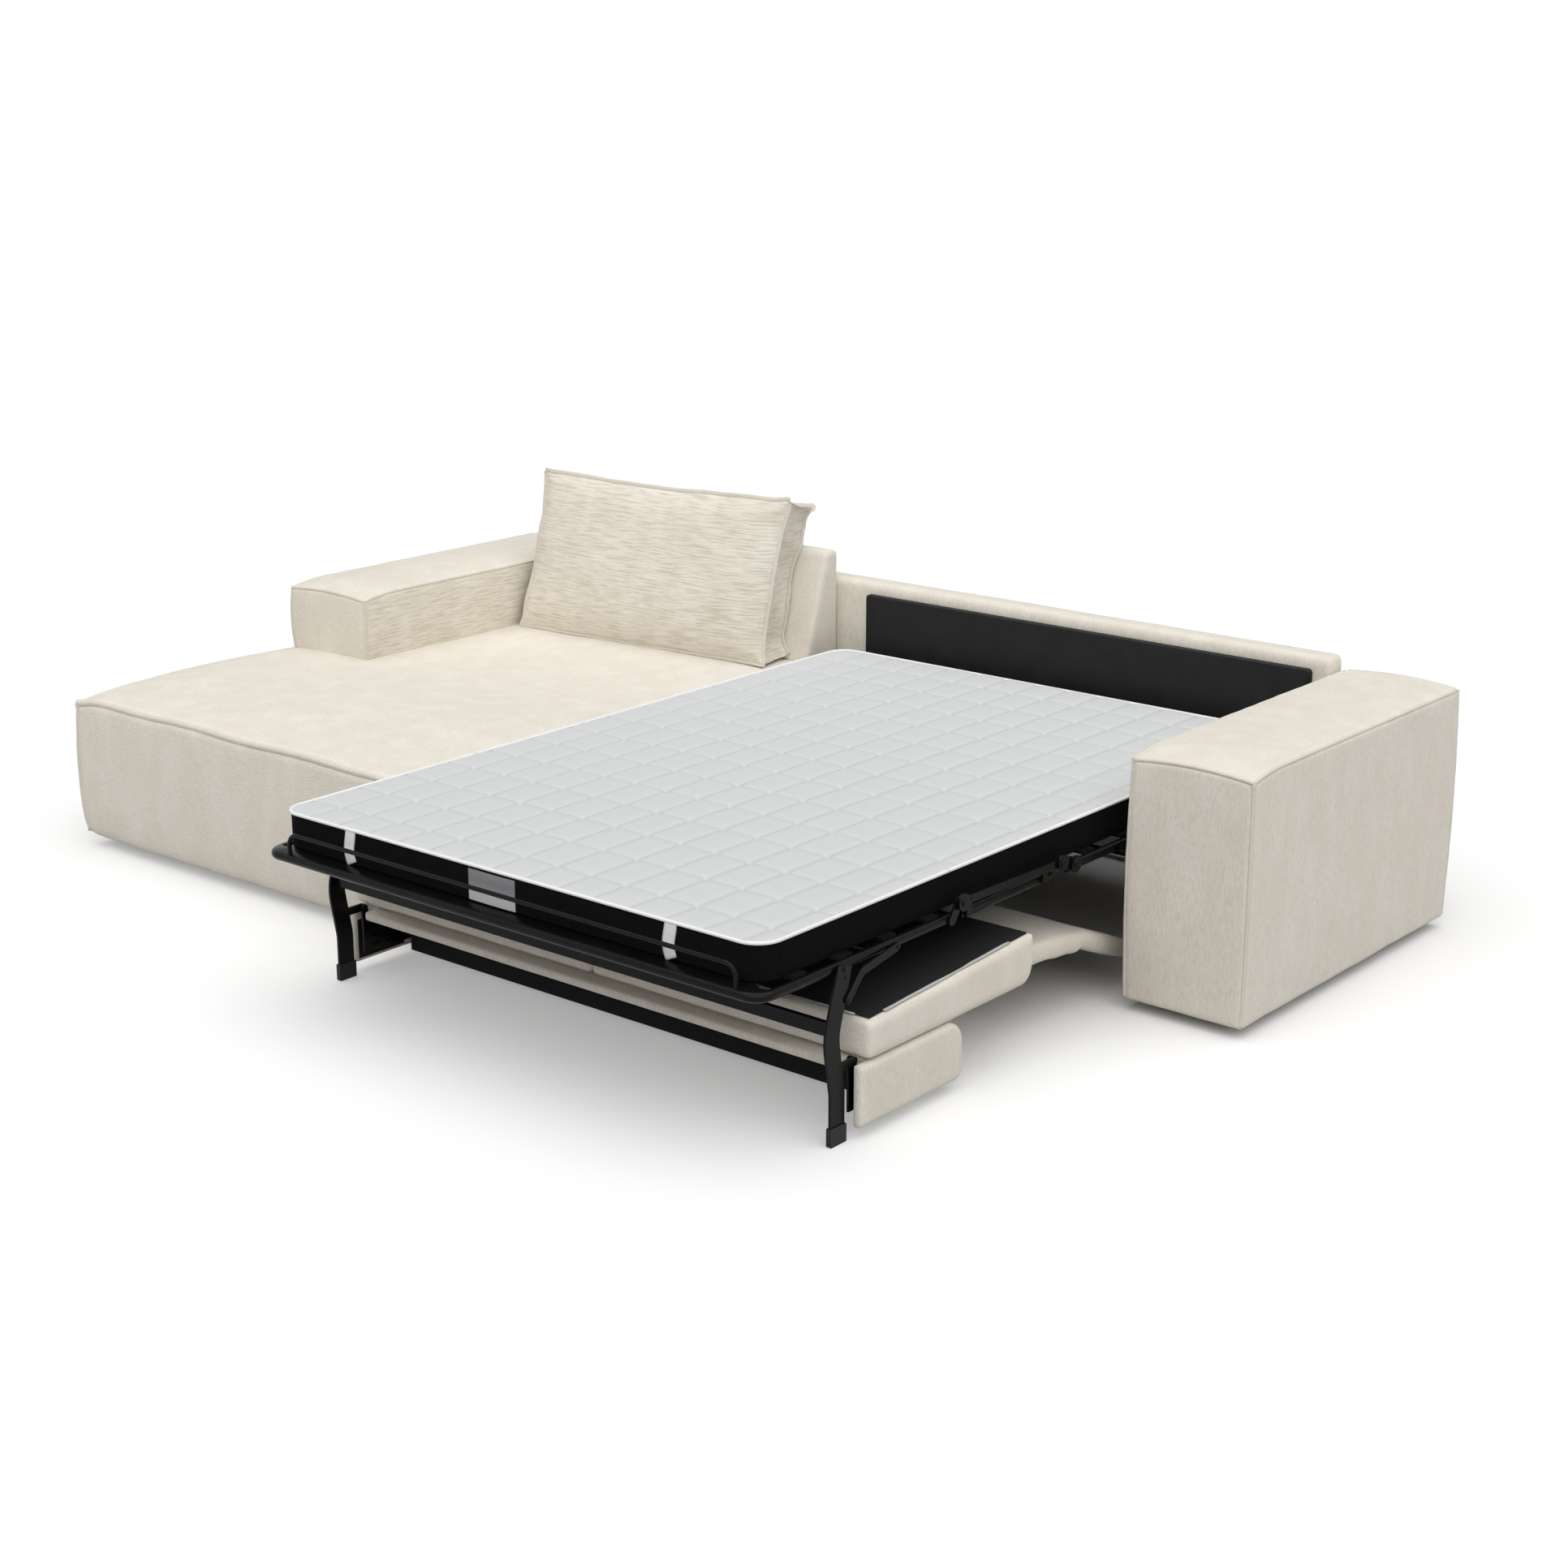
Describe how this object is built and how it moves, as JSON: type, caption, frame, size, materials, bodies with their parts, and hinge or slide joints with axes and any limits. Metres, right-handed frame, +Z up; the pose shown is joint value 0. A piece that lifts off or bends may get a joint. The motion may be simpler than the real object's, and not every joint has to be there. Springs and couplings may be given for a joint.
{
  "type": "corner sofa bed",
  "caption": "Upholstered corner sofa with a chaise and low arms; a slatted bed frame with a mattress unfolds from the seat on hinged sections and legs.",
  "frame": {"origin": "on the floor, at the centre of the plan of the unfolded sofa bed", "axes": "+X to the right along the back seen from the front, +Y towards the back, +Z up"},
  "size_m": [3.139, 2.192, 0.8719],
  "materials": {
    "beige_fabric": "woven",
    "black_metal": "satin black",
    "black_panel": "matt",
    "black_plastic": "matt",
    "slat_wood": "painted",
    "mattress_fabric": "quilted",
    "white_elastic": "woven",
    "grey_label": "smooth",
    "black_cloth": "woven"
  },
  "bodies": {
    "sofa_body": {"chaise_block": "beige_fabric", "left_arm": "beige_fabric", "right_arm": "beige_fabric", "chaise_back": "beige_fabric", "long_back": "beige_fabric", "back_panel": "black_panel", "sofa_feet": "black_plastic", "side_rails": "black_metal", "rail_spacers": "black_metal", "rear_rail": "black_metal", "swing_base_pins": "black_metal"},
    "front_swing": {"front_swing_arms": "black_metal"},
    "rear_swing": {"rear_swing_arms": "black_metal"},
    "head_section": {"swing_top_pins": "black_metal", "head_side_tubes": "black_metal", "head_cross_tubes": "black_metal", "head_slats": "slat_wood", "head_mattress": "mattress_fabric", "head_pivot_plates": "black_metal"},
    "middle_section": {"mid_side_tubes": "black_metal", "mid_cross_tube": "black_metal", "mid_slats": "slat_wood", "mid_mattress": "mattress_fabric", "fold_mattress": "mattress_fabric", "link_bars": "black_metal", "link_brackets": "black_metal"},
    "foot_section": {"foot_end_tube": "black_metal", "foot_side_tubes": "black_metal", "foot_cross_tubes": "black_metal", "foot_slats": "slat_wood", "foot_mattress": "mattress_fabric", "mattress_straps": "white_elastic", "mattress_label": "grey_label", "retainer_hoop": "black_metal", "first_pivot_levers": "black_metal", "legs": "black_metal", "leg_caps": "black_plastic", "leg_braces": "black_metal", "leg_crossbar": "black_metal", "backrest_pins": "black_metal", "left_seat_cushion": "beige_fabric", "right_seat_cushion": "beige_fabric", "seat_cover": "black_cloth", "seat_hangers": "black_metal", "seat_lip": "beige_fabric"},
    "backrest": {"backrest_pad": "beige_fabric", "backrest_liner": "black_cloth", "slotted_brackets": "black_metal"},
    "apron": {"front_apron": "beige_fabric"},
    "cushion": {"loose_cushion": "beige_fabric"}
  },
  "joints": [
    {"name": "front_swing_pivot", "type": "hinge", "parent": "sofa_body", "child": "front_swing", "pos_m": [0, 0.471, 0.23763], "axis": [-1, 0, 0], "range_deg": [-62, 0]},
    {"name": "rear_swing_pivot", "type": "hinge", "parent": "sofa_body", "child": "rear_swing", "pos_m": [0, 0.871, 0.23763], "axis": [-1, 0, 0], "range_deg": [-62, 0]},
    {"name": "head_pivot", "type": "hinge", "parent": "front_swing", "child": "head_section", "pos_m": [0, 0.15576, 0.365], "axis": [-1, 0, 0], "range_deg": [0, 62]},
    {"name": "bed_fold", "type": "hinge", "parent": "head_section", "child": "middle_section", "pos_m": [0, -0.097, 0.392], "axis": [-1, 0, 0], "range_deg": [0, 155], "deforming": ["mid_mattress", "fold_mattress"]},
    {"name": "foot_fold", "type": "hinge", "parent": "middle_section", "child": "foot_section", "pos_m": [0, -0.462, 0.4], "axis": [-1, 0, 0], "range_deg": [0, 25]},
    {"name": "backrest_raise", "type": "hinge", "parent": "foot_section", "child": "backrest", "pos_m": [0, -0.814, 0.16], "axis": [-1, 0, 0], "range_deg": [0, 90]},
    {"name": "apron_hang", "type": "hinge", "parent": "foot_section", "child": "apron", "pos_m": [0, 0.0563, 0.165], "axis": [-1, 0, 0], "range_deg": [-112, 0], "deforming": ["front_apron"]},
    {"name": "cushion_lift", "type": "slide", "parent": "sofa_body", "child": "cushion", "axis": [0, 0, 1], "range_m": [0, 0.3]}
  ],
  "couplings": [
    {"joint": "front_swing_pivot", "follows": "bed_fold", "ratio": -0.4},
    {"joint": "rear_swing_pivot", "follows": "bed_fold", "ratio": -0.4},
    {"joint": "head_pivot", "follows": "bed_fold", "ratio": 0.4},
    {"joint": "foot_fold", "follows": "bed_fold", "ratio": 0.16129},
    {"joint": "backrest_raise", "follows": "bed_fold", "ratio": 0.58065},
    {"joint": "apron_hang", "follows": "bed_fold", "ratio": -0.72258}
  ]
}
